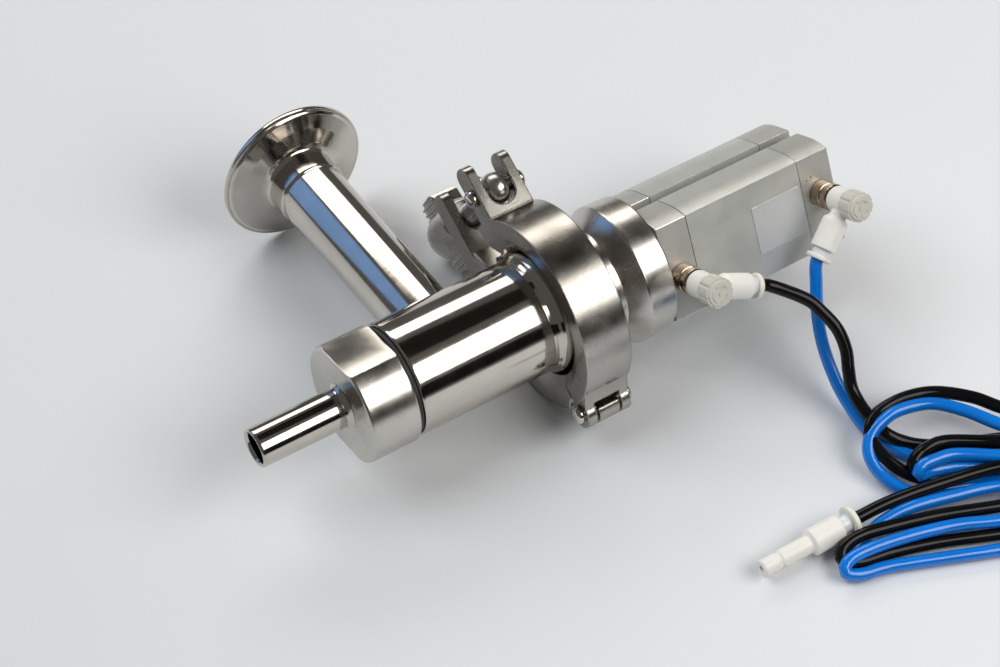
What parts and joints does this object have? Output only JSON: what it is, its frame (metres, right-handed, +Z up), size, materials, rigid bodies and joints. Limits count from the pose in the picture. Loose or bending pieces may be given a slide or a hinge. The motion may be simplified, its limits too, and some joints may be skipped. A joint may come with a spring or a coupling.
{
  "type": "pneumatic actuated valve",
  "caption": "Stainless dosing valve with a side branch, a two-piece pipe clamp, a square compact air cylinder and blue and black air tubing.",
  "frame": {"origin": "centre of the valve's length and width at the floor it rests on, tubing left out", "axes": "+X from the nozzle to the rear of the cylinder, +Y out along the side branch, +Z up"},
  "size_m": [0.2702, 0.2587, 0.0647],
  "materials": {
    "polished_steel": "mirror polished stainless",
    "satin_steel": "fine turned",
    "cast_steel": "tumbled casting",
    "stem_steel": "ground",
    "anodised_aluminium": "satin anodised",
    "nickel_brass": "nickel plated",
    "white_plastic": "satin",
    "grey_plastic": "satin",
    "black_rubber": "matt",
    "bearing_plastic": "matt",
    "magnet_black": "matt",
    "label_film": "satin film",
    "blue_hose": "gloss",
    "black_hose": "gloss"
  },
  "bodies": {
    "valve_body": {"nozzle_tube": "polished_steel", "end_cap": "satin_steel", "end_cap_seal": "black_rubber", "valve_body_tube": "polished_steel", "body_ferrule": "polished_steel", "clamp_gasket": "black_rubber", "branch_pipe": "polished_steel", "branch_ferrule": "polished_steel", "clamp_half_rear": "cast_steel", "clamp_hinge_pin": "polished_steel", "cylinder_adapter": "satin_steel", "stem_bush": "bearing_plastic", "stem_seal": "black_rubber", "cylinder_front_cap": "anodised_aluminium", "cylinder_barrel": "anodised_aluminium", "cylinder_rear_cap": "anodised_aluminium", "rod_seal": "black_rubber", "front_bumper": "black_rubber", "rear_bumper": "black_rubber", "cylinder_screw_1": "satin_steel", "cylinder_screw_2": "satin_steel", "cylinder_screw_3": "satin_steel", "cylinder_screw_4": "satin_steel", "rating_label": "label_film", "front_nipple": "nickel_brass", "front_elbow": "white_plastic", "front_elbow_cap": "grey_plastic", "rear_nipple": "nickel_brass", "rear_elbow": "white_plastic", "rear_elbow_cap": "grey_plastic", "blue_tube": "blue_hose", "black_tube": "black_hose", "black_tube_tail": "black_hose", "black_tube_upper_folds": "black_hose", "blue_tube_upper_folds": "blue_hose", "blue_tube_lower_folds": "blue_hose", "black_tube_lower_folds": "black_hose", "plug_body": "white_plastic", "plug_collar": "white_plastic"},
    "stem_and_piston": {"valve_stem": "stem_steel", "valve_plunger": "stem_steel", "plunger_seal": "black_rubber", "piston_rod": "stem_steel", "piston": "anodised_aluminium", "piston_seal": "black_rubber", "piston_magnet": "magnet_black"},
    "clamp_front_half": {"clamp_half_front": "cast_steel", "eye_bolt_pin": "polished_steel"},
    "eye_bolt": {"eye_bolt": "satin_steel"},
    "wing_nut": {"wing_nut": "cast_steel"},
    "front_collar": {"front_release_collar": "white_plastic"},
    "rear_collar": {"rear_release_collar": "white_plastic"}
  },
  "joints": [
    {"name": "stem_stroke", "type": "slide", "parent": "valve_body", "child": "stem_and_piston", "axis": [1, 0, 0], "range_m": [0, 0.03]},
    {"name": "clamp_open", "type": "hinge", "parent": "valve_body", "child": "clamp_front_half", "pos_m": [0.00385, -0.06096, 0.01415], "axis": [1, 0, 0], "range_deg": [0, 5.01]},
    {"name": "bolt_swing", "type": "hinge", "parent": "clamp_front_half", "child": "eye_bolt", "pos_m": [0.00385, 0.00241, 0.05464], "axis": [1, 0, 0], "range_deg": [0, 75]},
    {"name": "nut_travel", "type": "slide", "parent": "eye_bolt", "child": "wing_nut", "axis": [0, 0.4625, -0.8866], "range_m": [0, 0.01502]},
    {"name": "front_collar_press", "type": "slide", "parent": "valve_body", "child": "front_collar", "axis": [-0.9135, 0.2, 0.3542], "range_m": [0, 0.001]},
    {"name": "rear_collar_press", "type": "slide", "parent": "valve_body", "child": "rear_collar", "axis": [0.7071, 0.3477, 0.6157], "range_m": [0, 0.001]}
  ],
  "couplings": [
    {"joint": "clamp_open", "follows": "bolt_swing", "ratio": 0.066667},
    {"joint": "nut_travel", "follows": "bolt_swing", "m_per_rad": 0.011459}
  ]
}
